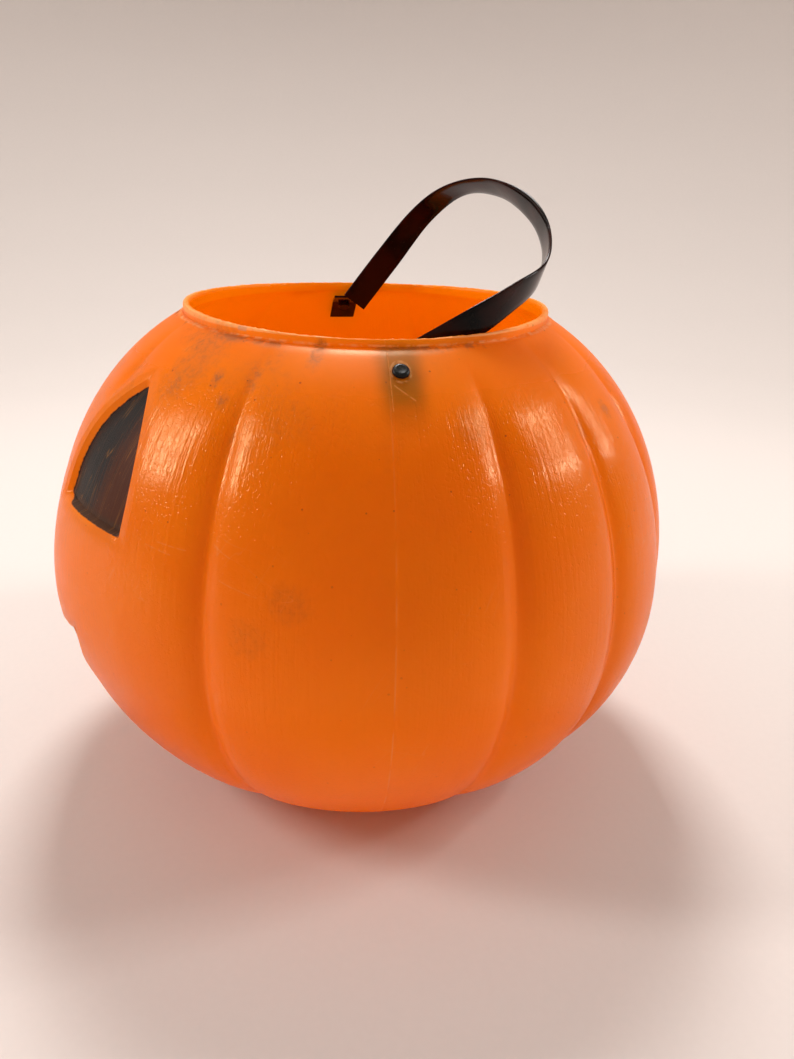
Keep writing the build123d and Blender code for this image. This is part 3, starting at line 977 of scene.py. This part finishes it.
def turnedPin():  # outline of the pin from the top of its head down, spun about Z
    shank, clinch, rounding = rivet["shankRadius"], rivet["clinchRadius"], rivet["clinchRound"]
    deep = -rivet["shankLength"]
    low = deep - rivet["clinchHeight"]
    outline = [(rivet["headRadius"] * out, rivet["headHeight"] * up) for out, up in rivet["headShares"]]
    outline += [(shank, 0.0), (shank, deep), (clinch, deep)]
    outline += [(clinch, low + rounding), (clinch - rounding, low), (0.0, low)]
    points, rings = [], []
    for radius, height in outline:
        count = rivet["sides"] if radius else 1
        rings.append(range(len(points), len(points) + count))
        for k in range(count):
            turn = 2 * math.pi * k / rivet["sides"]
            points.append((radius * math.cos(turn) * mm, radius * math.sin(turn) * mm, height * mm))
    faces = []
    for over, under in zip(rings, rings[1:]):
        for k in range(rivet["sides"]):
            n = (k + 1) % rivet["sides"]
            if len(over) == 1:
                faces.append((over[0], under[k], under[n]))
            elif len(under) == 1:
                faces.append((over[k], under[0], over[n]))
            else:
                faces.append((over[k], under[k], under[n], over[n]))
    mesh = bpy.data.meshes.new("turnedPin")
    mesh.from_pydata(points, [], faces)
    return mesh


def rivetTree():
    tree, given = newTree("rivetsAround", ("Count", "Radius", "Height", "Tilt", "Turn"))
    base = Wire(tree)
    line = base.node("GeometryNodeMeshLine", None, {"Count": rivet["count"]})
    index = base.node("GeometryNodeInputIndex")
    turn = given["Turn"] + index * (2 * math.pi) / given["Count"]
    seatX = given["Radius"] * base.math("COSINE", turn)
    seatY = given["Radius"] * base.math("SINE", turn)
    seat = vector(base, seatX, seatY, given["Height"])
    seats = base.node("GeometryNodeSetPosition", None, {"Geometry": line, "Position": seat})
    facing = base.node("FunctionNodeEulerToRotation", None,
                       {0: vector(base, 0.0, math.pi / 2 - given["Tilt"], turn)})
    pins = base.node("GeometryNodeInstanceOnPoints", None,
                     {"Points": seats, "Instance": given["Geometry"], "Rotation": facing})
    endTree(tree, pins, given["Material"])
    return tree


rivetFinish = {
    "black": rgb(0.005, 0.005, 0.004),
    "scuffed": rgb(0.035, 0.038, 0.028),
    "roughness": 0.38,
    "gloss": 0.2,
    "bumpDepth": 0.03,
}


def rivetPlastic():
    material, base = newMaterial("rivetPlastic")
    place = placeInMillimetres(base)
    tint = rivetFinish
    scuff = place.noise(0.9, 4.0, 0.6).smooth(0.52, 0.72)
    colour = (scuff * 0.5).mixColour(tint["black"], tint["scuffed"])
    bump = bumpOf(base, place.noise(1.5, 3.0), tint["bumpDepth"])
    shader = base.node("ShaderNodeBsdfPrincipled", None, {
        "Base Color": colour, "Roughness": tint["roughness"] + scuff * 0.25,
        "Normal": bump, "Specular IOR Level": tint["gloss"]})
    finish(base, shader)
    return material


share = (rivetHeight - pail["bellyHeight"]) / upperReach
seatRadius = pail["bodyRadius"] * (1 - share ** 2) ** (pail["shoulderShare"] / 2)
rivets = growMesh("rivets", turnedPin(), rivetTree(), {
    "Count": float(rivet["count"]),
    "Radius": seatRadius * mm,
    "Height": rivetHeight * mm,
    "Tilt": math.atan2(share / upperReach, (1 - share ** 2) / (pail["shoulderShare"] * seatRadius)),
    "Turn": math.radians(rivetTurn),
    "Material": rivetPlastic(),
})
shadeSmooth(rivets.data, rivet["sharpAngle"])
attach(rivets, "pail")
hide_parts("rivet_near", "rivet_far")
print("rivets set,", len(rivets.data.polygons), "faces")


# Paper sweep, soft boxes at the sides and behind, and a dim room
stage = {
    "paper": rgb(0.66, 0.59, 0.545),
    "fibreShade": 0.96,
    "paperRoughness": 0.85,
    "sides": 96,
    "floorCore": 0.3,  # metres from here on
    "floorReach": 0.65,
    "bend": 0.75,
    "wallTop": 2.0,
    "lampAim": (0.0, 0.0, 0.1),
    "lamps": {  # place, width, height and power
        "leftBox": ((0.02, -0.82, 0.55), 0.14, 0.36, 4.6),
        "rightTop": ((0.06, 0.745, 0.773), 0.1, 0.06, 0.8),  # four strips, a frame of light
        "rightFoot": ((0.06, 0.935, 0.467), 0.1, 0.06, 1.0),
        "rightFront": ((0.135, 0.84, 0.62), 0.05, 0.42, 1.4),
        "rightRear": ((-0.015, 0.84, 0.62), 0.05, 0.42, 1.4),
        "backBox": ((-0.58, 0.0, 1.05), 0.3, 0.3, 11.0),
    },
    "room": 0.385,
    "roomTint": rgb(1.0, 0.98, 0.96),
}


def addStage():
    material, base = newMaterial("palePaper")
    place = placeInMillimetres(base)
    shaded = rgb(*(stage["fibreShade"] * part for part in stage["paper"][:3]))
    colour = place.noise(0.35, 3.0).mixColour(stage["paper"], shaded)
    finish(base, base.node("ShaderNodeBsdfPrincipled", None, {
        "Base Color": colour, "Roughness": stage["paperRoughness"]}))
    reach, bend, sides = stage["floorReach"], stage["bend"], stage["sides"]
    outline = [(stage["floorCore"], 0.0), (reach, 0.0)]
    for angle in range(10, 91, 10):
        turn = math.radians(angle)
        outline.append((reach + bend * math.sin(turn), bend * (1 - math.cos(turn))))
    outline.append((reach + bend, stage["wallTop"]))
    points, faces = [], []
    for radius, height in outline:
        for k in range(sides):
            turn = 2 * math.pi * k / sides
            points.append((radius * math.cos(turn), radius * math.sin(turn), height))
    faces.append(tuple(range(sides)))
    for i in range(len(outline) - 1):
        for k in range(sides):
            n = (k + 1) % sides
            faces.append((i * sides + k, (i + 1) * sides + k, (i + 1) * sides + n, i * sides + n))
    mesh = bpy.data.meshes.new("paperSweep")
    mesh.from_pydata(points, [], faces)
    mesh.materials.append(material)
    mesh.polygons.foreach_set("use_smooth", [True] * len(mesh.polygons))
    floor = bpy.data.objects.new("paperSweep", mesh)
    bpy.context.scene.collection.objects.link(floor)


def addLamp(name, place, width, height, power):
    data = bpy.data.lights.new(name, "AREA")
    data.shape = "RECTANGLE"
    data.size = width
    data.size_y = height
    data.energy = power
    lamp = bpy.data.objects.new(name, data)
    lamp.location = place
    lamp.rotation_euler = (Vector(stage["lampAim"]) - Vector(place)).to_track_quat("-Z", "Y").to_euler()
    lamp.visible_camera = False
    bpy.context.scene.collection.objects.link(lamp)


addStage()
for name, values in stage["lamps"].items():
    addLamp(name, *values)
world = bpy.data.worlds.new("room")
world.use_nodes = True
background = world.node_tree.nodes["Background"]
background.inputs["Color"].default_value = stage["roomTint"]
background.inputs["Strength"].default_value = stage["room"]
bpy.context.scene.world = world
bpy.context.scene.view_settings.view_transform = "Standard"
print("stage and light set")
